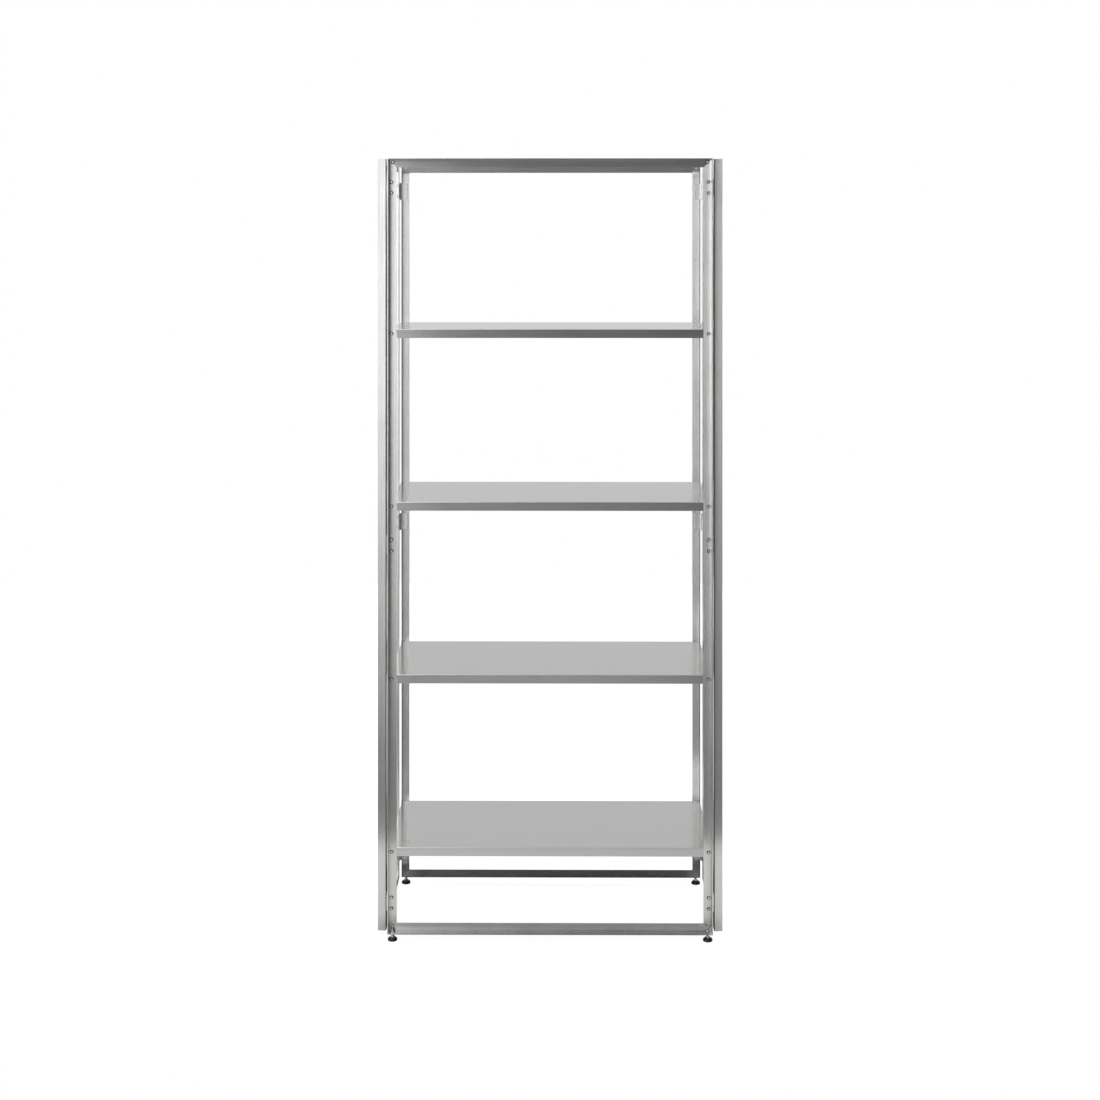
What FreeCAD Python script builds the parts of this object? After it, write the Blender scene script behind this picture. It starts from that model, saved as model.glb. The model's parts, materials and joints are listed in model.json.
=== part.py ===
import FreeCAD, Part
import math
import os

os.makedirs("parts", exist_ok=True)

V = FreeCAD.Vector

# Folding floor shelf in stainless angle, millimetres, +Z up.
# The origin is on the floor, under the middle of the shelf. The front faces -Y.

# Overall
overall_width = 796.0
overall_depth = 380.0
overall_height = 1800.0
foot_height = 17.0

# Folded angle of every frame member
angle_leg = 20.0
angle_wall = 2.0
angle_outer_radius = 2.6
angle_inner_radius = 0.6

# Fold hinges. The pin stands off the inner faces of the two frames that it joins
hinge_height = 40.0
hinge_leaf_width = 16.0
hinge_leaf_wall = 1.2
hinge_leaf_corner = 2.0
hinge_barrel_radius = 2.5
hinge_pin_radius = 1.0
hinge_pin_head_radius = 1.9
hinge_pin_head_height = 0.8
hinge_stand_off = 3.0
hinge_edge_gap = 1.2
hinge_from_end = 66.5
hinge_screw_from_pin = 9.5
hinge_screw_spacing = 25.5
knuckle_gap = 0.3
middle_knuckle_height = 13.0

# Screws and running fits
screw_radius = 2.0
screw_head_radius = 3.5
screw_head_height = 2.2
screw_head_round = 1.2
screw_slot_width = 0.9
screw_slot_length = 4.2
screw_slot_depth = 1.0
screw_end_proud = 0.3
running_clearance = 0.05
cut_overrun = 1.0

# Shelves, counted from the top
shelf_count = 4
top_shelf_height = 1406.5
shelf_pitch = 398.5
shelf_wall = 1.5
shelf_lip = 20.0
shelf_side_gap = 2.0
shelf_leg_gap = 0.5
shelf_side_lip_setback = 33.5
pivot_from_frame = 6.5
pivot_below_top = 3.0
pivot_to_rear_edge = 3.0
shelf_notch_width = 4.5
shelf_notch_reach = 9.0

# Ledges under the front corners of each shelf
ledge_wall = 1.5
ledge_reach = 18.0
ledge_drop = 18.0
ledge_width = 15.5
ledge_edge_gap = 2.5
ledge_clearance = 0.3
ledge_screw_below_top = 10.0

# Pivot brackets and pins at the rear corners of each shelf
bracket_wall = 1.5
bracket_tab_wall = 2.0
bracket_tab_reach = 6.0
bracket_width = 12.5
bracket_drop = 16.0
bracket_tab_drop = 8.0
bracket_screw_drop = 8.0
bracket_screw_inset = 12.0
bracket_lip_gap = 0.3
pivot_pin_radius = 2.0
pivot_head_radius = 3.2
pivot_head_height = 1.2
pivot_head_gap = 0.3

# Plates behind the upper corners of the front and rear frames
corner_plate_side = 16.0
corner_plate_wall = 2.0
corner_screw_inset = 11.0
corner_screw_drop = 8.5

# Levelling feet
foot_pad_radius = 11.0
foot_pad_height = 7.0
foot_pad_round = 2.5
foot_stem_radius = 3.0
foot_stem_top = 33.0
foot_stem_seat = 3.0
foot_hex_flats = 10.0
foot_hex_height = 3.5
foot_nut_height = 5.0

# Places that follow from the sizes above
frame_height = overall_height - foot_height
frame_inner_y = overall_depth / 2 - angle_leg
side_inner_x = overall_width / 2 - angle_leg
fold_x = side_inner_x - hinge_stand_off
fold_y = frame_inner_y - hinge_stand_off
frame_half_width = fold_x - hinge_edge_gap
leg_inner_x = frame_half_width - angle_leg
side_outer_y = fold_y - hinge_edge_gap
side_width = side_outer_y - hinge_edge_gap
hinge_levels = [
    foot_height + hinge_from_end,
    foot_height + frame_height / 2,
    overall_height - hinge_from_end,
]
shelf_levels = [top_shelf_height - shelf_pitch * i for i in range(shelf_count)]
screw_hole_radius = screw_radius + running_clearance
pivot_y = frame_inner_y - pivot_from_frame
shelf_rear_y = pivot_y + pivot_to_rear_edge
shelf_front_y = -(frame_inner_y + angle_wall)
shelf_end_front_y = -(frame_inner_y - shelf_leg_gap)
shelf_side_x = frame_half_width - shelf_side_gap
shelf_lip_inner_x = shelf_side_x - shelf_wall
shelf_front_x = leg_inner_x - shelf_leg_gap
tab_outer_x = shelf_lip_inner_x - bracket_lip_gap
foot_x = frame_half_width - foot_pad_radius
foot_y = overall_depth / 2 - foot_pad_radius


def block(x0, x1, y0, y1, z0, z1):
    """A box between two corners, given in any order along each axis."""
    low = V(min(x0, x1), min(y0, y1), min(z0, z1))
    return Part.makeBox(abs(x1 - x0), abs(y1 - y0), abs(z1 - z0), low)


def rod(radius, start, direction, length):
    return Part.makeCylinder(radius, length, start, direction)


def seat(shape, origin, along, out):
    """Moves a shape drawn at the origin: its X goes along, its Y goes out."""
    up = along.cross(out)
    matrix = FreeCAD.Matrix(
        along.x, out.x, up.x, origin.x,
        along.y, out.y, up.y, origin.y,
        along.z, out.z, up.z, origin.z,
        0, 0, 0, 1,
    )
    moved = shape.copy()
    moved.Placement = FreeCAD.Placement(matrix).multiply(shape.Placement)
    return moved


def mirrored(shape, normal):
    return shape.mirror(V(0, 0, 0), normal)


def round_edges(shape, radius, wanted):
    edges = [e for e in shape.Edges if wanted(e)]
    return shape.makeFillet(radius, edges)


def runs_up_at(edge, x, y):
    """True for a straight edge along Z that stands at x, y."""
    near = hinge_pin_radius * running_clearance
    ends = [v.Point for v in edge.Vertexes]
    return len(ends) == 2 and all(abs(p.x - x) < near and abs(p.y - y) < near for p in ends)


def angle_member(length):
    """Bent angle along Z with both ends mitred. The corner line is on the Z axis."""
    outer = block(0, angle_leg, 0, angle_leg, 0, length)
    outer = round_edges(outer, angle_outer_radius, lambda e: runs_up_at(e, 0, 0))
    far = angle_leg + cut_overrun
    hollow = block(angle_wall, far, angle_wall, far, -cut_overrun, length + cut_overrun)
    hollow = round_edges(
        hollow, angle_inner_radius, lambda e: runs_up_at(e, angle_wall, angle_wall)
    )
    bar = outer.cut(hollow)
    mitre = [V(0, 0, 0), V(far, 0, far), V(far, 0, length - far), V(0, 0, length)]
    wedge = Part.Face(Part.makePolygon(mitre + mitre[:1])).extrude(V(0, angle_leg, 0))
    return bar.common(wedge).Solids[0]


def tray_frame(origin, across, out, width):
    """Four angle members round an open frame. Flat legs lie in the frame, the others point out."""
    up = V(0, 0, 1)
    corners = [V(0, 0, 0), across * width, across * width + up * frame_height, up * frame_height]
    inward = {"foot": up, "far": across * -1, "top": up * -1, "near": across}
    members = {}
    for i, (name, inner) in enumerate(inward.items()):
        a = origin + corners[i]
        b = origin + corners[(i + 1) % len(corners)]
        run = inner.cross(out)
        start = a if (b - a).dot(run) > 0 else b
        members[name] = seat(angle_member((b - a).Length), start, inner, out)
    return members


def hinge_leaf(carries_pin):
    """One leaf of a butt hinge. The pin is on the Z axis and the leaf runs along X."""
    half = hinge_height / 2
    middle = middle_knuckle_height / 2
    face = -hinge_stand_off
    plate = block(
        knuckle_gap, hinge_leaf_width, face, face + hinge_leaf_wall, -half, half
    )
    rim = [e for e in plate.Edges
           if all(abs(v.X - hinge_leaf_width) < running_clearance for v in e.Vertexes)
           and abs(e.Vertexes[0].Y - e.Vertexes[-1].Y) > running_clearance]
    plate = plate.makeFillet(hinge_leaf_corner, rim)
    clear = hinge_barrel_radius + knuckle_gap
    if carries_pin:
        spans = [(-half, -middle - knuckle_gap), (middle + knuckle_gap, half)]
        gaps = [(-middle - knuckle_gap, middle + knuckle_gap)]
    else:
        spans = [(-middle, middle)]
        gaps = [(-half - cut_overrun, -middle), (middle, half + cut_overrun)]
    for low, high in gaps:
        plate = plate.cut(block(-clear, clear, face - cut_overrun, clear, low, high))
    for low, high in spans:
        plate = plate.fuse(rod(hinge_barrel_radius, V(0, 0, low), V(0, 0, 1), high - low))
    bore = hinge_pin_radius + running_clearance
    plate = plate.cut(rod(bore, V(0, 0, -hinge_height), V(0, 0, 1), 2 * hinge_height))
    for side in (-1, 1):
        place = V(hinge_screw_from_pin, face - cut_overrun, side * hinge_screw_spacing / 2)
        plate = plate.cut(rod(screw_hole_radius, place, V(0, 1, 0), hinge_stand_off + cut_overrun))
    return plate.removeSplitter().Solids[0]


def hinge_pin():
    half = hinge_height / 2
    pin = rod(hinge_pin_radius, V(0, 0, -half), V(0, 0, 1), hinge_height)
    for side in (-1, 1):
        pin = pin.fuse(
            rod(hinge_pin_head_radius, V(0, 0, side * half), V(0, 0, side), hinge_pin_head_height)
        )
    return pin.removeSplitter().Solids[0]


def pan_screw(seat_point, out, grip):
    """A cross-slotted pan head screw. Its head rests at the seat and its shank runs inward."""
    head = rod(screw_head_radius, V(0, 0, 0), V(0, 0, 1), screw_head_height)
    head = round_edges(
        head, screw_head_round,
        lambda e: len(e.Vertexes) == 1 and e.Vertexes[0].Z > screw_head_height / 2,
    )
    floor = screw_head_height - screw_slot_depth
    long, wide = screw_slot_length / 2, screw_slot_width / 2
    top = screw_head_height + cut_overrun
    head = head.cut(block(-long, long, -wide, wide, floor, top))
    head = head.cut(block(-wide, wide, -long, long, floor, top))
    screw = head.fuse(rod(screw_radius, V(0, 0, 0), V(0, 0, -1), grip + screw_end_proud))
    side = V(0, 0, 1) if abs(out.z) < abs(out.x) + abs(out.y) else V(1, 0, 0)
    return seat(screw.removeSplitter().Solids[0], seat_point, side, out.cross(side))


def hinge_places(axis_x, axis_y, along, out, carries_pin):
    """Leaves, screws and screw holes of the three hinges on one fold line."""
    leaves, screws, holes = [], [], []
    for level in hinge_levels:
        axis = V(axis_x, axis_y, level)
        leaves.append(seat(hinge_leaf(carries_pin), axis, along, out))
        for side in (-1, 1):
            outer = axis + along * hinge_screw_from_pin - out * (hinge_stand_off + angle_wall)
            outer = outer + V(0, 0, side * hinge_screw_spacing / 2)
            screws.append(pan_screw(outer, out * -1, angle_wall + hinge_leaf_wall))
            holes.append(drilled(outer, out))
    return leaves, screws, holes


def drilled(outer, inward):
    """Cutter for a screw hole through one angle wall, started outside it."""
    start = outer - inward * cut_overrun
    return rod(screw_hole_radius, start, inward, angle_wall + 2 * cut_overrun)


def drill(members, holes):
    """Each hole is cut from the members whose box it meets."""
    for name, member in members.items():
        near = [h for h in holes if member.BoundBox.intersect(h.BoundBox)]
        if near:
            members[name] = member.cut(near).Solids[0]
    return members


def save(name, solids):
    shape = solids[0] if len(solids) == 1 else Part.makeCompound(solids)
    shape.exportStep("parts/" + name + ".step")


def both_sides(solids):
    return solids + [mirrored(s, V(1, 0, 0)) for s in solids]


def shelf_tray(level):
    """Sheet shelf with lips folded down, narrower in front where it passes the legs."""
    low = level - shelf_lip
    under = level - shelf_wall
    tray = block(-shelf_side_x, shelf_side_x, shelf_end_front_y, shelf_rear_y, under, level)
    tray = tray.fuse(block(-shelf_front_x, shelf_front_x, shelf_front_y, shelf_rear_y, under, level))
    tray = tray.fuse(
        block(-shelf_front_x, shelf_front_x, shelf_front_y, shelf_front_y + shelf_wall, low, level)
    )
    tray = tray.fuse(
        block(-shelf_front_x, shelf_front_x, shelf_rear_y - shelf_wall, shelf_rear_y, low, level)
    )
    lip_front = shelf_end_front_y + shelf_side_lip_setback
    for side in (-1, 1):
        outer, inner = side * shelf_side_x, side * shelf_lip_inner_x
        tray = tray.fuse(block(inner, outer, lip_front, shelf_rear_y, low, level))
    tray = tray.removeSplitter()
    for side in (-1, 1):
        inner = side * shelf_lip_inner_x
        notch = block(
            inner - side * shelf_notch_width, inner, pivot_y - shelf_notch_reach,
            shelf_rear_y + cut_overrun, under - cut_overrun, level + cut_overrun,
        )
        tray = tray.cut(notch)
        start = V(inner - side * cut_overrun, pivot_y, level - pivot_below_top)
        hole = rod(
            pivot_pin_radius + running_clearance, start, V(side, 0, 0),
            shelf_wall + 2 * cut_overrun,
        )
        tray = tray.cut(hole)
    return tray.Solids[0]


def shelf_ledge(level):
    """Angle tab behind the left front leg, just under the corner of the shelf."""
    top = level - shelf_wall - ledge_clearance
    outer = -(frame_half_width - ledge_edge_gap)
    back = -frame_inner_y
    tab = block(outer, outer + ledge_width, back, back + ledge_reach, top - ledge_wall, top)
    tab = tab.fuse(
        block(outer, outer + ledge_width, back, back + ledge_wall, top - ledge_drop, top)
    )
    place = V(hinge_screw_x, back - angle_wall, level - ledge_screw_below_top)
    hole = rod(
        screw_hole_radius, place, V(0, 1, 0), angle_wall + ledge_wall + cut_overrun
    )
    screw = pan_screw(place, V(0, -1, 0), angle_wall + ledge_wall)
    return tab.removeSplitter().cut(hole).Solids[0], screw, drilled(place, V(0, 1, 0))


def pivot_bracket(level):
    """Angle bracket on the left rear leg, with a tab that holds the pivot pin."""
    face = frame_inner_y
    axis_z = level - pivot_below_top
    outer = -tab_outer_x
    base = block(
        outer, outer + bracket_width, face - bracket_wall, face,
        axis_z - bracket_drop, level,
    )
    tab = block(
        outer, outer + bracket_tab_wall, pivot_y - bracket_tab_reach, face,
        axis_z - bracket_tab_drop, level,
    )
    bracket = base.fuse(tab).removeSplitter()
    pin_hole = pivot_pin_radius + running_clearance
    bracket = bracket.cut(
        rod(pin_hole, V(outer - cut_overrun, pivot_y, axis_z), V(1, 0, 0),
            bracket_tab_wall + 2 * cut_overrun)
    )
    place = V(-(frame_half_width - bracket_screw_inset), face + angle_wall,
              axis_z - bracket_screw_drop)
    bracket = bracket.cut(
        rod(screw_hole_radius, place, V(0, -1, 0), angle_wall + bracket_wall + cut_overrun)
    )
    screw = pan_screw(place, V(0, 1, 0), angle_wall + bracket_wall)
    return bracket.Solids[0], screw, drilled(place, V(0, -1, 0))


def pivot_pin(level):
    """Headed pin through the shelf's side lip and the bracket's tab."""
    axis_z = level - pivot_below_top
    head_x = -(shelf_side_x + pivot_head_gap)
    inner_x = -(tab_outer_x - bracket_tab_wall)
    pin = rod(pivot_pin_radius, V(head_x, pivot_y, axis_z), V(1, 0, 0), inner_x - head_x)
    pin = pin.fuse(
        rod(pivot_head_radius, V(head_x, pivot_y, axis_z), V(-1, 0, 0), pivot_head_height)
    )
    pin = pin.fuse(
        rod(pivot_head_radius, V(inner_x, pivot_y, axis_z), V(1, 0, 0), pivot_head_height)
    )
    return pin.removeSplitter().Solids[0]


def corner_plate(front):
    """Square plate and screw behind the upper left corner of the front or rear frame."""
    inner = front * frame_inner_y
    left = -(frame_half_width - angle_wall)
    top = overall_height - angle_wall
    plate = block(
        left, left + corner_plate_side, inner, inner - front * corner_plate_wall,
        top - corner_plate_side, top,
    )
    place = V(-(frame_half_width - corner_screw_inset), front * (frame_inner_y + angle_wall),
              overall_height - corner_screw_drop)
    inward = V(0, -front, 0)
    hole = rod(screw_hole_radius, place, inward, angle_wall + corner_plate_wall + cut_overrun)
    screw = pan_screw(place, inward * -1, angle_wall + corner_plate_wall)
    return plate.cut(hole).Solids[0], screw, drilled(place, inward)


def hexagon(flats, height, low):
    reach = flats / 2 / math.cos(math.pi / 6)
    points = [
        V(reach * math.cos(math.pi / 3 * i), reach * math.sin(math.pi / 3 * i), low)
        for i in range(6)
    ]
    return Part.Face(Part.makePolygon(points + points[:1])).extrude(V(0, 0, height))


def foot(side_x, side_y):
    """Stem with a hexagon, lock nut on the frame, and a pad, at one corner."""
    place = V(side_x * foot_x, side_y * foot_y, 0)
    stem = rod(foot_stem_radius, V(0, 0, foot_stem_seat), V(0, 0, 1), foot_stem_top - foot_stem_seat)
    stem = stem.fuse(hexagon(foot_hex_flats, foot_hex_height, foot_pad_height)).removeSplitter()
    nut = hexagon(foot_hex_flats, foot_nut_height, foot_height + angle_wall)
    bore = rod(foot_stem_radius + running_clearance, V(0, 0, foot_stem_seat), V(0, 0, 1), foot_stem_top)
    pad = rod(foot_pad_radius, V(0, 0, 0), V(0, 0, 1), foot_pad_height)
    pad = round_edges(
        pad, foot_pad_round,
        lambda e: len(e.Vertexes) == 1 and e.Vertexes[0].Z > foot_pad_height / 2,
    )
    pieces = [stem.Solids[0], nut.cut(bore).Solids[0], pad.cut(bore).Solids[0]]
    for piece in pieces:
        piece.translate(place)
    hole = bore.copy()
    hole.translate(place)
    return pieces, hole


hinge_screw_x = -(fold_x - hinge_screw_from_pin)
X, Y = V(1, 0, 0), V(0, 1, 0)

# Front and rear frames: angle trays that open forwards and backwards
for name, front in (("front", -1), ("rear", 1)):
    across, out = X, Y * front
    frame = tray_frame(V(-frame_half_width, front * frame_inner_y, foot_height), across, out,
                       2 * frame_half_width)
    leaves, screws, holes = hinge_places(-fold_x, front * fold_y, X, Y * -front, True)
    plate, screw, hole = corner_plate(front)
    screws, holes = screws + [screw], holes + [hole]
    fittings = []
    for level in shelf_levels:
        fitting, screw, hole = shelf_ledge(level) if front < 0 else pivot_bracket(level)
        fittings.append(fitting)
        screws.append(screw)
        holes.append(hole)
    feet = {"stems": [], "nuts": [], "pads": []}
    foot_pieces, foot_hole = foot(-1, front)
    for group, piece in zip(feet.values(), foot_pieces):
        group.append(piece)
    frame = drill(frame, both_sides(holes + [foot_hole]))
    save(name + "_post_left", [frame["near"]])
    save(name + "_post_right", [frame["far"]])
    save(name + "_rail_top", [frame["top"]])
    save(name + "_rail_bottom", [frame["foot"]])
    save(name + "_hinge_leaves", both_sides(leaves))
    pins = [seat(hinge_pin(), V(-fold_x, front * fold_y, z), X, Y) for z in hinge_levels]
    save(name + "_hinge_pins", both_sides(pins))
    save(name + "_screws", both_sides(screws))
    save(name + "_corner_plates", both_sides([plate]))
    save("shelf_ledges" if front < 0 else "shelf_pivot_brackets", both_sides(fittings))
    for group, pieces in feet.items():
        save(name + "_foot_" + group, both_sides(pieces))

save("shelf_pivot_pins", both_sides([pivot_pin(level) for level in shelf_levels]))

# Side frames: each side is two trays that open outwards, hinged to each other in the middle
for half, end in (("front", -1), ("rear", 1)):
    near_y = -side_outer_y if end < 0 else hinge_edge_gap
    frame = tray_frame(V(-side_inner_x, near_y, foot_height), Y, X * -1, side_width)
    corner = hinge_places(-fold_x, end * fold_y, Y * -end, X, False)
    centre = hinge_places(-fold_x, 0, Y * end, X, end > 0)
    leaves, screws, holes = (a + b for a, b in zip(corner, centre))
    frame = drill(frame, holes)
    outer_post, centre_post = ("near", "far") if end < 0 else ("far", "near")
    pieces = {
        "corner_post": [frame[outer_post]],
        "centre_post": [frame[centre_post]],
        "rail_top": [frame["top"]],
        "rail_bottom": [frame["foot"]],
        "hinge_leaves": leaves,
        "screws": screws,
    }
    for piece, solids in pieces.items():
        save("left_" + half + "_" + piece, solids)
        save("right_" + half + "_" + piece, [mirrored(s, X) for s in solids])

centre_pins = [seat(hinge_pin(), V(-fold_x, 0, z), X, Y) for z in hinge_levels]
save("left_centre_pins", centre_pins)
save("right_centre_pins", [mirrored(s, X) for s in centre_pins])

# Shelves, the first at the top
for i, level in enumerate(shelf_levels):
    save("shelf_%d" % (i + 1), [shelf_tray(level)])
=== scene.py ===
import json
import math
import bmesh
import bpy
from mathutils import Matrix, Vector


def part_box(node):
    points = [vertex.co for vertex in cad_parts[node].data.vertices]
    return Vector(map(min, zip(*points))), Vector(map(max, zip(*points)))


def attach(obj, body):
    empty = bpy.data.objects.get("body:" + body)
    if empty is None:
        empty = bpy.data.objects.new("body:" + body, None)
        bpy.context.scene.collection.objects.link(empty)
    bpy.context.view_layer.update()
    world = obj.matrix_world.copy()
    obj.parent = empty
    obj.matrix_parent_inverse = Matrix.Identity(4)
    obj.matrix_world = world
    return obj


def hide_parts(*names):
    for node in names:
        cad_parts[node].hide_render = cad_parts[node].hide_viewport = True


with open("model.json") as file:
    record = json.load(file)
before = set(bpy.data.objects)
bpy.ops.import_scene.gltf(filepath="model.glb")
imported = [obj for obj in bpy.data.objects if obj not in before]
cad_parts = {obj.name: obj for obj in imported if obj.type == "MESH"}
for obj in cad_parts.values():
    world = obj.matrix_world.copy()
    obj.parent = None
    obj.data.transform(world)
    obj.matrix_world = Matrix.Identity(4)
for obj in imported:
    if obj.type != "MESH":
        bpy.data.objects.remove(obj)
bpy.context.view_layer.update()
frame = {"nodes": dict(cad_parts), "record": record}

mm = 0.001


# Frame angle: 304 stainless strip, folded to 20 mm legs, belt-brushed along its length and
# mitred at the corners. Belt brushing blurs reflections across the bar and leaves them
# sharp along it, so every bar shows the studio as long soft bands.
bar_light = "#e0e0df"
bar_dark = "#cecdcc"
bar_roughness = (0.23, 0.27)
crosswise_roughness = (0.22, 0.26)
bar_anisotropy = 0.95
# The frame's folds are painted dark grey: painted shade for the dark line along each bend.
bar_fold_painted_shade = ("#7b7a79", 0.42)
# The painted tone and the roughness of a fold begin and are complete where the normal's largest part falls
# to these.
fold_starts = 0.998
fold_full = 0.975
# The belt's real lines are a few tenths of a millimetre wide and drawn coarser, to show.
brush_line = 1.3 * mm
brush_length = 140 * mm
brush_depth = 0.012 * mm
brush_relief = 0.1
brush_detail = 3.0
brush_unevenness = 0.6
handling_mark = 90 * mm
handling_detail = 4.0
handling_share = 0.3
tone_span = (0.3, 0.68)
haze_span = (0.3, 0.7)


def linear(hex_colour):
    """An sRGB hex colour as linear red, green, blue and alpha."""
    parts = [int(hex_colour[i:i + 2], 16) / 255 for i in (1, 3, 5)]
    return tuple(c / 12.92 if c <= 0.04045 else ((c + 0.055) / 1.055) ** 2.4 for c in parts) + (1.0,)


def add(tree, kind, settings=None, values=None, links=None):
    """Adds a node. settings are its properties, values its sockets, links sockets fed by others."""
    node = tree.nodes.new(kind)
    for key, value in (settings or {}).items():
        setattr(node, key, value)
    for key, value in (values or {}).items():
        node.inputs[key].default_value = value
    for key, socket in (links or {}).items():
        tree.links.new(socket, node.inputs[key])
    return node


def turned_painted_tone(tree, colour, gloss, painted_tone_and_gloss, starts, full):
    """Paints a tone and sets another roughness where a wall turns away from the flat, as on a fold or a
    rim. The tone is painted shade on the frame's folds and screw rims, and a painted highlight on the
    shelf folds.
    """
    facing = add(tree, "ShaderNodeTexCoord").outputs["Normal"]
    turned = add(tree, "ShaderNodeVectorMath", {"operation": "ABSOLUTE"}, links={0: facing})
    sides = add(tree, "ShaderNodeSeparateXYZ", links={"Vector": turned.outputs["Vector"]}).outputs
    larger = add(tree, "ShaderNodeMath", {"operation": "MAXIMUM"}, links={0: sides["X"], 1: sides["Y"]})
    largest = add(tree, "ShaderNodeMath", {"operation": "MAXIMUM"},
                  links={0: larger.outputs[0], 1: sides["Z"]})
    on_round = add(tree, "ShaderNodeMapRange",
                   values={"From Min": starts, "From Max": full, "To Min": 0.0, "To Max": 1.0},
                   links={"Value": largest.outputs[0]}).outputs["Result"]
    colour = add(tree, "ShaderNodeMix", {"data_type": "RGBA"}, {"B": linear(painted_tone_and_gloss[0])},
                 {"Factor": on_round, "A": colour}).outputs["Result"]
    gloss = add(tree, "ShaderNodeMix", {"data_type": "FLOAT"}, {"B": painted_tone_and_gloss[1]},
                {"Factor": on_round, "A": gloss}).outputs["Result"]
    return colour, gloss


def brushed_steel(name, grain, light, dark, roughness, anisotropy, line=brush_line,
                  depth=brush_depth, fold=None):
    """Stainless steel brushed along the grain axis, with fine lines and faint handling marks.

    fold gives the roughness of the rounded folds and the tone painted on them: painted shade on the
    frame's angle, a painted highlight on the shelf sheet.
    """
    material = bpy.data.materials.new(name)
    material.use_nodes = True
    tree = material.node_tree
    shader = tree.nodes["Principled BSDF"]
    place = add(tree, "ShaderNodeTexCoord").outputs["Object"]
    across, along = 1 / line, 1 / brush_length
    scale = [along if axis == grain else across for axis in "XYZ"]
    stretched = add(tree, "ShaderNodeMapping", values={"Scale": scale}, links={"Vector": place})
    lines = add(tree, "ShaderNodeTexNoise",
                values={"Scale": 1.0, "Detail": brush_detail, "Roughness": brush_unevenness},
                links={"Vector": stretched.outputs["Vector"]})
    marks = add(tree, "ShaderNodeTexNoise", values={"Scale": 1 / handling_mark, "Detail": handling_detail},
                links={"Vector": place})
    blend = add(tree, "ShaderNodeMix", {"data_type": "FLOAT"}, {"Factor": handling_share},
                {"A": lines.outputs["Fac"], "B": marks.outputs["Fac"]})
    tone = add(tree, "ShaderNodeValToRGB", links={"Fac": blend.outputs["Result"]})
    for point, position, colour in zip(tone.color_ramp.elements, tone_span, (dark, light)):
        point.position = position
        point.color = linear(colour)
    haze = add(tree, "ShaderNodeMapRange",
               values={"From Min": haze_span[0], "From Max": haze_span[1],
                       "To Min": roughness[0], "To Max": roughness[1]},
               links={"Value": blend.outputs["Result"]})
    relief = add(tree, "ShaderNodeBump", values={"Strength": brush_relief, "Distance": depth},
                 links={"Height": lines.outputs["Fac"]})
    tangent = add(tree, "ShaderNodeTangent", {"direction_type": "RADIAL", "axis": grain})
    shader.inputs["Metallic"].default_value = 1.0
    shader.inputs["Anisotropic"].default_value = anisotropy
    colour, gloss = tone.outputs["Color"], haze.outputs["Result"]
    if fold:
        colour, gloss = turned_painted_tone(tree, colour, gloss, fold, fold_starts, fold_full)
    tree.links.new(colour, shader.inputs["Base Color"])
    tree.links.new(gloss, shader.inputs["Roughness"])
    tree.links.new(relief.outputs["Normal"], shader.inputs["Normal"])
    tree.links.new(tangent.outputs["Tangent"], shader.inputs["Tangent"])
    return material


def finish_node(node, material):
    """Gives a CAD node its material in every slot."""
    mesh = frame["nodes"][node].data
    if not mesh.materials:
        mesh.materials.append(material)
    for i in range(len(mesh.materials)):
        mesh.materials[i] = material


upright_steel, crosswise_steel, depthwise_steel = (
    brushed_steel("stainless_brushed_" + run, axis, bar_light, bar_dark, roughness,
                  bar_anisotropy, fold=bar_fold_painted_shade)
    for run, axis, roughness in (("upright", "Z", bar_roughness), ("crosswise", "X", crosswise_roughness),
                                 ("depthwise", "Y", bar_roughness)))
for end in ("front", "rear"):
    for side in ("left", "right"):
        finish_node(end + "_post_" + side, upright_steel)
        finish_node(side + "_" + end + "_corner_post", upright_steel)
        finish_node(side + "_" + end + "_centre_post", upright_steel)
        finish_node(side + "_" + end + "_rail_top", depthwise_steel)
        finish_node(side + "_" + end + "_rail_bottom", depthwise_steel)
    finish_node(end + "_rail_top", crosswise_steel)
    finish_node(end + "_rail_bottom", crosswise_steel)
    finish_node(end + "_corner_plates", crosswise_steel)


# Shelves: 1.5 mm stainless sheet, brushed along its length, with lips folded down on four
# sides in a press brake. The folds keep a small radius, which catches a bright line of light.
# The ledges and brackets that carry them are of the same steel as the frame.
shelf_count = 4
fold_radius = 2.2 * mm
fold_steps = 5
sheet_light = "#dbdbda"
sheet_dark = "#d2d2d1"
sheet_line = 1.6 * mm
sheet_depth = 0.003 * mm
sheet_roughness = (0.18, 0.23)
sheet_anisotropy = 0.75
# The shelf folds are painted a little lighter than the sheet, a painted highlight, and are also less
# rough.
sheet_fold_painted_highlight = ("#e2e2e1", 0.12)
weld_reach = 0.02 * mm
flush_angle = math.radians(1)
smooth_angle = math.radians(35)
flat_wall = 0.9999
upright_lean = 0.1

shelf_steel = brushed_steel("stainless_brushed_sheet", "X", sheet_light, sheet_dark,
                            sheet_roughness, sheet_anisotropy, line=sheet_line,
                            depth=sheet_depth, fold=sheet_fold_painted_highlight)


def new_piece(name, bm, material, body):
    """Makes a finished object at the origin from a bmesh and lets it ride on a body.

    Flat walls keep their own normal, so that they mirror straight, and only folds are smooth.
    """
    for edge in bm.edges:
        edge.smooth = edge.calc_face_angle(math.pi) < smooth_angle
    for face in bm.faces:
        face.smooth = max(abs(c) for c in face.normal) < flat_wall
    mesh = bpy.data.meshes.new(name)
    bm.to_mesh(mesh)
    bm.free()
    piece = bpy.data.objects.new(name, mesh)
    bpy.context.scene.collection.objects.link(piece)
    mesh.materials.append(material)
    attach(piece, body)
    return piece


def merged_copy(node):
    """A bmesh of a CAD node with its loose triangles joined into whole faces."""
    bm = bmesh.new()
    bm.from_mesh(frame["nodes"][node].data)
    bmesh.ops.remove_doubles(bm, verts=bm.verts, dist=weld_reach)
    bmesh.ops.dissolve_limit(bm, angle_limit=flush_angle, verts=bm.verts, edges=bm.edges)
    return bm


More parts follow.
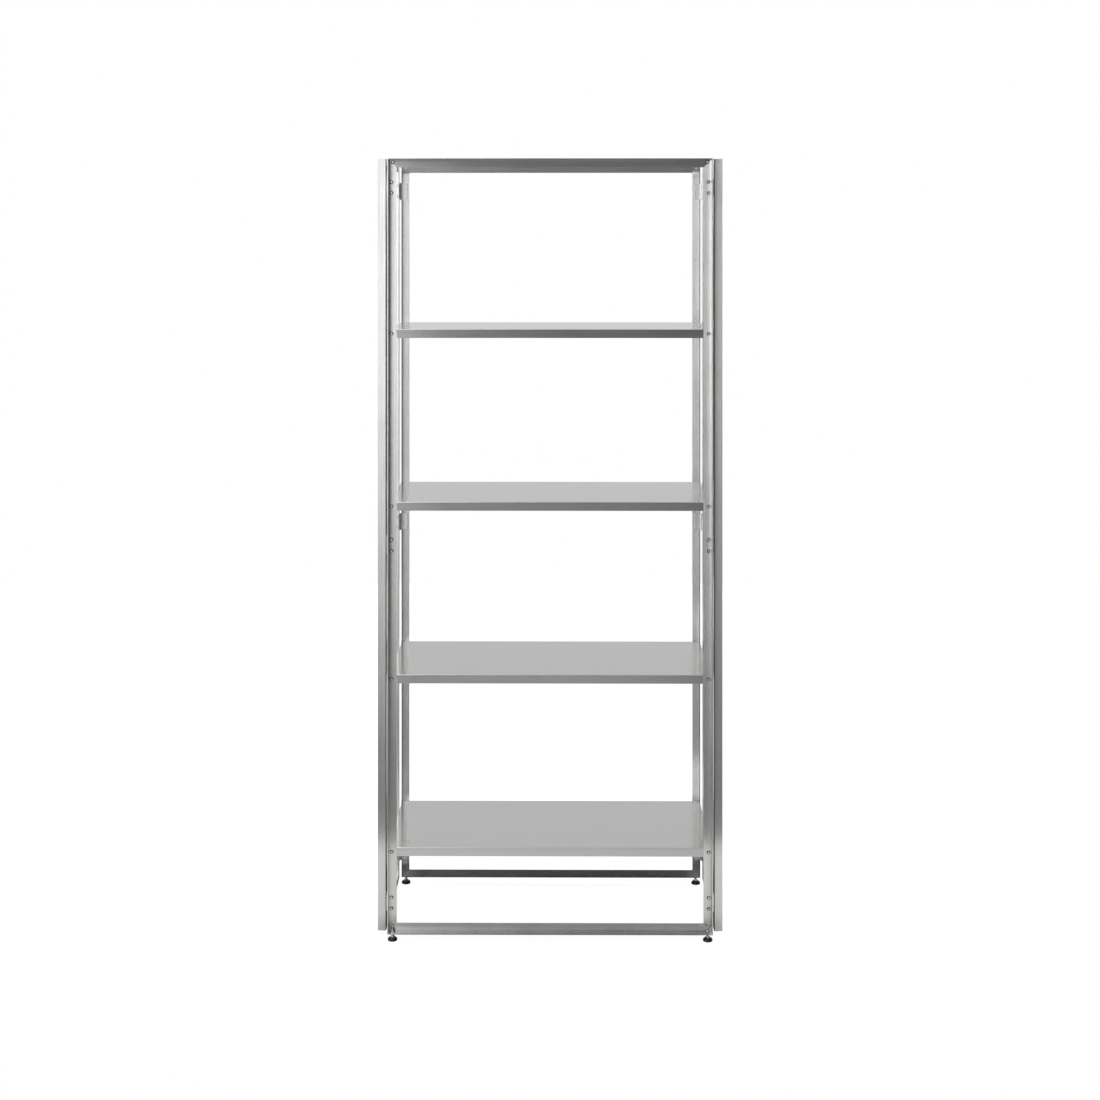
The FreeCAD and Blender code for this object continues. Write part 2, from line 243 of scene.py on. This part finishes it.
for i in range(1, shelf_count + 1):
    name = "shelf_%d" % i
    low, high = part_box(name)
    bm = merged_copy(name)
    folds = []
    for edge in bm.edges:
        a, b = (v.co for v in edge.verts)
        level = abs(a.z - high[2]) < weld_reach and abs(b.z - high[2]) < weld_reach
        if not level or len(edge.link_faces) != 2:
            continue
        outward = min((f.normal for f in edge.link_faces), key=lambda n: n.z)
        drop = min(v.co.z for f in edge.link_faces for v in f.verts)
        if abs(outward.z) < upright_lean and drop < low[2] + weld_reach:
            folds.append(edge)
    bmesh.ops.bevel(bm, geom=folds, offset=fold_radius, offset_type="OFFSET", segments=fold_steps,
                    profile=0.5, affect="EDGES", material=-1, clamp_overlap=True)
    piece = new_piece("shelf_tray_%d" % i, bm, shelf_steel, name)
    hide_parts(name)
finish_node("shelf_ledges", crosswise_steel)
finish_node("shelf_pivot_brackets", crosswise_steel)


# Hinges: 40 mm stamped stainless butt hinges, tumbled to a satin face that is brighter than
# the angle and mirrors less sharply.
hinge_light = "#eeeeed"
hinge_dark = "#d9d9d8"
hinge_line = 2.5 * mm
hinge_roughness = (0.32, 0.40)
hinge_anisotropy = 0.3
hinge_steel = brushed_steel("stainless_tumbled_hinge", "Z", hinge_light, hinge_dark,
                            hinge_roughness, hinge_anisotropy, line=hinge_line)
for node in frame["nodes"]:
    if node.endswith("hinge_leaves"):
        finish_node(node, hinge_steel)


# Screws and pins: stainless button-head machine screws with a hexagon socket, turned and
# polished, with fine turning marks that only show as slightly uneven gloss. The domed rim is
# painted near black as painted shade, so each screw shows as a dark ring with a bright middle.
screw_light = "#fafafa"
screw_dark = "#eaeaea"
screw_roughness = (0.34, 0.42)
# The rim's near-black tone is painted shade.
screw_rim_painted_shade = ("#0c0c0c", 0.35)
rim_starts = 0.99
rim_full = 0.93
# Real turning marks are much finer than these patches, which are as coarse as they need to show.
turning_mark = 1.5 * mm
turning_detail = 3.0
# The dome's radius and height, from its flat top down to the seat.
dome = [(2.3 * mm, 2.2 * mm), (3.0 * mm, 1.95 * mm), (3.65 * mm, 1.45 * mm), (4.05 * mm, 0.75 * mm),
        (4.2 * mm, 0.0)]
head_height = dome[0][1]
head_steps = 24
shank_radius = 2.0 * mm
socket_radius = 1.15 * mm
socket_depth = 1.1 * mm
socket_sides = 6
outermost_share = 0.98


def bright_hardware(name, light, dark, roughness, rim=None):
    """Polished fastener metal with small uneven patches of gloss.

    rim is the painted shade and the roughness of its rounded edges.
    """
    material = bpy.data.materials.new(name)
    material.use_nodes = True
    tree = material.node_tree
    shader = tree.nodes["Principled BSDF"]
    place = add(tree, "ShaderNodeTexCoord").outputs["Object"]
    patches = add(tree, "ShaderNodeTexNoise", values={"Scale": 1 / turning_mark, "Detail": turning_detail},
                  links={"Vector": place})
    tone = add(tree, "ShaderNodeMix", {"data_type": "RGBA"},
               {"A": linear(dark), "B": linear(light)}, {"Factor": patches.outputs["Fac"]})
    haze = add(tree, "ShaderNodeMapRange", values={"To Min": roughness[0], "To Max": roughness[1]},
               links={"Value": patches.outputs["Fac"]})
    shader.inputs["Metallic"].default_value = 1.0
    colour, gloss = tone.outputs["Result"], haze.outputs["Result"]
    if rim:
        colour, gloss = turned_painted_tone(tree, colour, gloss, rim, rim_starts, rim_full)
    tree.links.new(colour, shader.inputs["Base Color"])
    tree.links.new(gloss, shader.inputs["Roughness"])
    return material


def button_screw(length):
    """A screw along +Z with its seat at 0 and its shank reaching down by a length."""
    bm = bmesh.new()
    rings = [(socket_sides, socket_radius, head_height - socket_depth),
             (socket_sides, socket_radius, head_height)]
    rings += [(head_steps, radius, height) for radius, height in dome]
    rings += [(head_steps, shank_radius, 0.0), (head_steps, shank_radius, -length)]
    loops = []
    for i, (steps, radius, height) in enumerate(rings):
        made = bmesh.ops.create_circle(bm, cap_ends=i in (0, len(rings) - 1), segments=steps,
                                       radius=radius, matrix=Matrix.Translation((0, 0, height)))
        ring = set(made["verts"])
        loops.append([e for e in bm.edges if ring.issuperset(e.verts)])
    for upper, lower in zip(loops, loops[1:]):
        bmesh.ops.bridge_loops(bm, edges=upper + lower)
    bmesh.ops.recalc_face_normals(bm, faces=bm.faces)
    mesh = bpy.data.meshes.new("button_screw")
    bm.to_mesh(mesh)
    bm.free()
    return mesh


def shells_of(bm):
    """The separate shells of a bmesh in its own order, each as a list of vertex places."""
    seen, shells = set(), []
    for first in bm.verts:
        if first in seen:
            continue
        seen.add(first)
        waiting, shell = [first], []
        while waiting:
            vert = waiting.pop()
            shell.append(vert.co.copy())
            near = [other for other in (edge.other_vert(vert) for edge in vert.link_edges)
                    if other not in seen]
            seen.update(near)
            waiting.extend(near)
        shells.append(shell)
    return shells


def from_axis(place, along):
    """How far a place lies from the axis that runs along X, Y or Z through the origin."""
    return Vector([0 if k == along else place[k] for k in range(3)]).length


screw_steel = bright_hardware("stainless_turned_screw", screw_light, screw_dark, screw_roughness,
                              screw_rim_painted_shade)
body_of = {node: body for body, nodes in frame["record"]["behaviour"]["bodies"].items()
           for node in nodes}
for node in list(frame["nodes"]):
    if node.endswith("pins"):
        finish_node(node, screw_steel)
    if not node.endswith("screws"):
        continue
    bm, screws = merged_copy(node), bmesh.new()
    for shell in shells_of(bm):
        low = Vector([min(p[k] for p in shell) for k in range(3)])
        high = Vector([max(p[k] for p in shell) for k in range(3)])
        middle, size = (low + high) / 2, high - low
        # Every screw is shorter than its head is wide, so its shortest side is its axis, and
        # the head is on the side where its widest ring lies.
        along = min(range(3), key=lambda k: size[k])
        widest = max(from_axis(p - middle, along) for p in shell)
        outermost = [p[along] for p in shell if from_axis(p - middle, along) > outermost_share * widest]
        sign = 1 if sum(outermost) / len(outermost) > middle[along] else -1
        out = Vector([sign if k == along else 0 for k in range(3)])
        seat = middle + out * (size[along] / 2 - head_height)
        mesh = button_screw(size[along] - head_height)
        mesh.transform(Matrix.Translation(seat) @ out.to_track_quat("Z", "Y").to_matrix().to_4x4())
        screws.from_mesh(mesh)
        bpy.data.meshes.remove(mesh)
    bm.free()
    piece = new_piece(node.replace("_screws", "_button_screws"), screws, screw_steel,
                      body_of[node])
    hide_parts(node)


# Levelling feet: bright zinc-plated stems and nuts that screw into black moulded nylon pads.
# The plating mirrors sharply. The pads have a rolled edge and a shallow dish round the stem,
# and their grain is drawn coarser than the mould's, to show.
zinc_light = "#f0f1f3"
zinc_dark = "#b9bbbe"
zinc_roughness = (0.08, 0.18)
nylon_black = "#020202"
nylon_edge = "#080808"
nylon_roughness = (0.26, 0.42)
nylon_relief = 0.3
mould_grain = 0.8 * mm
mould_depth = 0.05 * mm
mould_detail = 2.0
pad_radius = 11 * mm
pad_height = 7 * mm
pad_stem_radius = 3.1 * mm
# Shares of the pad's height and radius, from the floor over the edge and down into the dish.
pad_profile_shares = [(0.0, 0.86), (0.14, 1.0), (0.5, 1.0), (0.74, 0.97), (0.92, 0.86),
                      (1.0, 0.62), (0.93, 0.5), (0.88, 0.44)]
pad_steps = 48

zinc = bright_hardware("steel_bright_zinc", zinc_light, zinc_dark, zinc_roughness)
for end in ("front", "rear"):
    finish_node(end + "_foot_stems", zinc)
    finish_node(end + "_foot_nuts", zinc)


def moulded_nylon(name):
    """Black injection-moulded nylon: a fine even grain and slightly polished high spots."""
    material = bpy.data.materials.new(name)
    material.use_nodes = True
    tree = material.node_tree
    shader = tree.nodes["Principled BSDF"]
    place = add(tree, "ShaderNodeTexCoord").outputs["Object"]
    grain = add(tree, "ShaderNodeTexNoise", values={"Scale": 1 / mould_grain, "Detail": mould_detail},
                links={"Vector": place})
    tone = add(tree, "ShaderNodeMix", {"data_type": "RGBA"},
               {"A": linear(nylon_black), "B": linear(nylon_edge)}, {"Factor": grain.outputs["Fac"]})
    haze = add(tree, "ShaderNodeMapRange",
               values={"To Min": nylon_roughness[0], "To Max": nylon_roughness[1]},
               links={"Value": grain.outputs["Fac"]})
    relief = add(tree, "ShaderNodeBump", values={"Strength": nylon_relief, "Distance": mould_depth},
                 links={"Height": grain.outputs["Fac"]})
    tree.links.new(tone.outputs["Result"], shader.inputs["Base Color"])
    tree.links.new(haze.outputs["Result"], shader.inputs["Roughness"])
    tree.links.new(relief.outputs["Normal"], shader.inputs["Normal"])
    return material


pad_nylon = moulded_nylon("nylon_moulded_black")
for end in ("front", "rear"):
    low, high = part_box(end + "_foot_pads")
    centre_y = (low[1] + high[1]) / 2
    bm = bmesh.new()
    for centre_x in (low[0] + pad_radius, high[0] - pad_radius):
        ring = [Vector((centre_x + pad_stem_radius, centre_y, 0))]
        ring += [Vector((centre_x + pad_radius * across, centre_y, pad_height * up))
                 for up, across in pad_profile_shares]
        ring.append(Vector((centre_x + pad_stem_radius, centre_y, ring[-1].z)))
        verts = [bm.verts.new(p) for p in ring]
        edges = [bm.edges.new((verts[k], verts[(k + 1) % len(verts)])) for k in range(len(verts))]
        bmesh.ops.spin(bm, geom=verts + edges, cent=(centre_x, centre_y, 0), axis=(0, 0, 1),
                       angle=math.tau, steps=pad_steps, use_merge=True)
    bmesh.ops.remove_doubles(bm, verts=bm.verts, dist=weld_reach)
    bmesh.ops.recalc_face_normals(bm, faces=bm.faces)
    piece = new_piece(end + "_nylon_pads", bm, pad_nylon, end + "_frame")
    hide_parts(end + "_foot_pads")


# Floor: a plain pale sheet of studio paper that ends a little in front of the shelf, so only
# the steel's lower ends mirror it. The steel sees it dark under the shelf, which shades it
# there. The eye sees it nearly burnt out to white, with the shadow still faintly on it.
paper_front = -0.80
paper_back = 4.0
paper_half_width = 4.0
paper_colour = "#f0f0ef"
shade_colour = "#5a5a59"
shade_half = (0.34, 0.24)
shade_reach = (0.0, 0.08)
paper_glow_for_eye = 0.9
paper_share_for_eye = 0.28

bm = bmesh.new()
bmesh.ops.create_grid(bm, x_segments=1, y_segments=1, size=1)
bmesh.ops.scale(bm, vec=(paper_half_width, (paper_back - paper_front) / 2, 1), verts=bm.verts)
bmesh.ops.translate(bm, vec=(0, (paper_back + paper_front) / 2, 0), verts=bm.verts)
mesh = bpy.data.meshes.new("studio_paper")
bm.to_mesh(mesh)
bm.free()
paper = bpy.data.objects.new("studio_paper", mesh)
bpy.context.scene.collection.objects.link(paper)

material = bpy.data.materials.new("paper_pale")
material.use_nodes = True
tree = material.node_tree
tree.nodes.clear()
is_eye = add(tree, "ShaderNodeLightPath").outputs["Is Camera Ray"]
ground = add(tree, "ShaderNodeTexCoord").outputs["Object"]
outside = add(tree, "ShaderNodeVectorMath", {"operation": "ABSOLUTE"}, links={0: ground})
outside = add(tree, "ShaderNodeVectorMath", {"operation": "SUBTRACT"}, {1: shade_half + (0.0,)},
              {0: outside.outputs["Vector"]})
outside = add(tree, "ShaderNodeVectorMath", {"operation": "MAXIMUM"}, {1: (0.0, 0.0, 0.0)},
              {0: outside.outputs["Vector"]})
outside = add(tree, "ShaderNodeVectorMath", {"operation": "LENGTH"},
              links={0: outside.outputs["Vector"]})
clear = add(tree, "ShaderNodeMapRange", values={"From Min": shade_reach[0], "From Max": shade_reach[1]},
            links={"Value": outside.outputs["Value"]})
shaded = add(tree, "ShaderNodeMix", {"data_type": "RGBA"},
             {"A": linear(shade_colour), "B": linear(paper_colour)}, {"Factor": clear.outputs["Result"]})
matt = add(tree, "ShaderNodeBsdfDiffuse", links={"Color": shaded.outputs["Result"]})
faint = add(tree, "ShaderNodeBsdfDiffuse", values={"Color": (paper_share_for_eye,) * 3 + (1.0,)})
glow = add(tree, "ShaderNodeEmission", values={"Strength": paper_glow_for_eye})
burnt_out = add(tree, "ShaderNodeAddShader", links={0: faint.outputs[0], 1: glow.outputs[0]})
seen = add(tree, "ShaderNodeMixShader", links={0: is_eye, 1: matt.outputs[0], 2: burnt_out.outputs[0]})
add(tree, "ShaderNodeOutputMaterial", links={"Surface": seen.outputs[0]})
mesh.materials.append(material)


# Room: white for the eye, and for soft light white above and dimmer low down. The steel mirrors
# a photographer's room: a wide bright screen front left, a weak one on the right, a dim gap
# where the camera stands, a soft box overhead, dark sides, a pale back wall and a ceiling.
fill_fade = [(-1.0, 0.3), (0.0, 0.35), (0.45, 1.0), (1.0, 1.0)]
# Each light lies in a range of directions. Heights are a direction's upward part, fronts its
# part towards the camera, and edges its sideways part for each part towards the camera.
# A fade pairs heights with levels.
least_forward = 0.001
left_screen_edges = (-1.15, -0.90)
left_near_level = 1.5
left_near_edges = (-0.118, -0.090)
left_wide_level = 2.7
left_wide_edges = (-0.46, -0.16)
right_screen_level = 0.14
right_screen_edges = [(0.075, 0.110), (0.45, 0.75)]
screen_fade = [(-0.36, 0.04), (-0.275, 0.05), (-0.262, 0.10), (-0.245, 0.30), (-0.205, 0.44),
               (-0.163, 0.60), (-0.12, 0.76), (-0.05, 1.0), (0.50, 1.0)]
screen_front = (0.0, 0.05)
dim_gap_edges = (0.07, 0.11)
dim_gap_fade = [(-0.60, 0.36), (-0.34, 0.62), (-0.25, 0.48), (-0.17, 0.17), (0.05, 0.10)]
dim_gap_front = (0.1, 0.3)
overhead_level = 0.5
overhead_heights = [(0.42, 0.52), (0.78, 0.88)]
overhead_front = (0.1, 0.35)
back_fade = [(-0.40, 0.10), (0.0, 0.10), (0.03, 1.4), (0.08, 1.1), (0.14, 0.66), (0.25, 0.65),
             (0.45, 0.70), (0.70, 0.30)]
back_front = (-0.75, -0.9)
side_screen_level = 0.5
side_screen_start = (0.92, 0.97)
side_gap = 0.10
ceiling_level = 0.5
ceiling_heights = (0.46, 0.62)

world = bpy.data.worlds.new("studio_room")
bpy.context.scene.world = world
world.use_nodes = True
room = world.node_tree
room.nodes.clear()


def step(source, edges, rising=True):
    """A smooth step of a socket between two edges, from 0 to 1 or back to 0."""
    return add(room, "ShaderNodeMapRange", {"interpolation_type": "SMOOTHSTEP"},
               {"From Min": edges[0], "From Max": edges[1],
                "To Min": 0.0 if rising else 1.0, "To Max": 1.0 if rising else 0.0},
               {"Value": source}).outputs["Result"]


def maths(operation, *terms):
    """A maths node of sockets or numbers. More than two are taken one after another."""
    result = terms[0]
    for term in terms[1:]:
        node = add(room, "ShaderNodeMath", {"operation": operation})
        for i, value in enumerate((result, term)):
            if isinstance(value, (int, float)):
                node.inputs[i].default_value = value
            else:
                room.links.new(value, node.inputs[i])
        result = node.outputs[0]
    return result


def size_of(source):
    """A socket's value without its sign."""
    return add(room, "ShaderNodeMath", {"operation": "ABSOLUTE"}, links={0: source}).outputs[0]


def fade(source, stops):
    """A number that runs through the stops, each a pair of source value and level."""
    low, span = stops[0][0], stops[-1][0] - stops[0][0]
    share = add(room, "ShaderNodeMapRange", values={"From Min": low, "From Max": low + span},
                links={"Value": source}).outputs["Result"]
    ramp = add(room, "ShaderNodeValToRGB", links={"Fac": share})
    points = ramp.color_ramp.elements
    while len(points) < len(stops):
        points.new(0.5)
    for point, (place, level) in zip(points, stops):
        point.position = (place - low) / span
        point.color = (level, level, level, 1.0)
    return ramp.outputs["Color"]


direction = add(room, "ShaderNodeTexCoord").outputs["Generated"]
parts = add(room, "ShaderNodeSeparateXYZ", links={"Vector": direction}).outputs
rise = parts["Z"]
forward = maths("MULTIPLY", parts["Y"], -1.0)
aside = maths("DIVIDE", parts["X"], maths("MAXIMUM", forward, least_forward))

near_part = maths("MULTIPLY", step(aside, left_near_edges, False), left_near_level)
wide_part = maths("MULTIPLY", step(aside, left_wide_edges, False), left_wide_level)
left_screen = maths("MULTIPLY", step(aside, left_screen_edges), maths("ADD", near_part, wide_part))
right_screen = maths("MULTIPLY", step(aside, right_screen_edges[0]),
                     step(aside, right_screen_edges[1], False), right_screen_level)
screens = maths("MULTIPLY", maths("ADD", left_screen, right_screen), fade(rise, screen_fade),
                step(forward, screen_front))
dim_gap = maths("MULTIPLY", step(size_of(aside), dim_gap_edges, False), step(forward, dim_gap_front),
                fade(rise, dim_gap_fade))
overhead = maths("MULTIPLY", step(rise, overhead_heights[0]), step(rise, overhead_heights[1], False),
                 step(forward, overhead_front), overhead_level)
back_wall = maths("MULTIPLY", step(forward, back_front), fade(rise, back_fade))
sides = maths("MULTIPLY", step(size_of(parts["X"]), side_screen_start), side_screen_level)
ceiling = maths("MULTIPLY", step(rise, ceiling_heights), ceiling_level)
mirrored_room = maths("MAXIMUM", side_gap, screens, dim_gap, overhead, back_wall, sides, ceiling)

ray = add(room, "ShaderNodeLightPath").outputs
for_eye = add(room, "ShaderNodeMix", {"data_type": "FLOAT"}, {"B": 1.0},
              {"Factor": ray["Is Camera Ray"], "A": fade(rise, fill_fade)}).outputs["Result"]
level = add(room, "ShaderNodeMix", {"data_type": "FLOAT"},
            links={"Factor": ray["Is Glossy Ray"], "A": for_eye, "B": mirrored_room})
background = add(room, "ShaderNodeBackground", {}, {"Strength": 1.0}, {"Color": level.outputs["Result"]})
add(room, "ShaderNodeOutputWorld", links={"Surface": background.outputs["Background"]})


# Lamp: one large soft lamp high on the left, which gives the folds a bright edge and the
# feet a faint shadow.
lamp_from = Vector((-2.2, -2.6, 3.4))
lamp_to = Vector((0, 0, 0.9))
lamp_data = bpy.data.lights.new("soft_lamp", "AREA")
lamp_data.shape = "RECTANGLE"
lamp_data.size = 1.6
lamp_data.size_y = 1.6
lamp_data.energy = 20.0
lamp = bpy.data.objects.new("soft_lamp", lamp_data)
aim = (lamp_to - lamp_from).to_track_quat("-Z", "Y").to_matrix().to_4x4()
lamp.matrix_world = Matrix.Translation(lamp_from) @ aim
bpy.context.scene.collection.objects.link(lamp)


# Camera: level, at eye height, with a lens shift down to the shelf as in the photograph.
camera_data = bpy.data.cameras.new("camera")
camera_data.sensor_width = 36.0
camera_data.lens = 57.47
camera_data.shift_y = -0.2836
camera = bpy.data.objects.new("camera", camera_data)
camera.location = (0.023, -4.221, 1.617)
camera.rotation_euler = (math.pi / 2, 0, math.radians(0.327))
bpy.context.scene.collection.objects.link(camera)
bpy.context.scene.camera = camera
bpy.context.scene.view_settings.view_transform = "Standard"
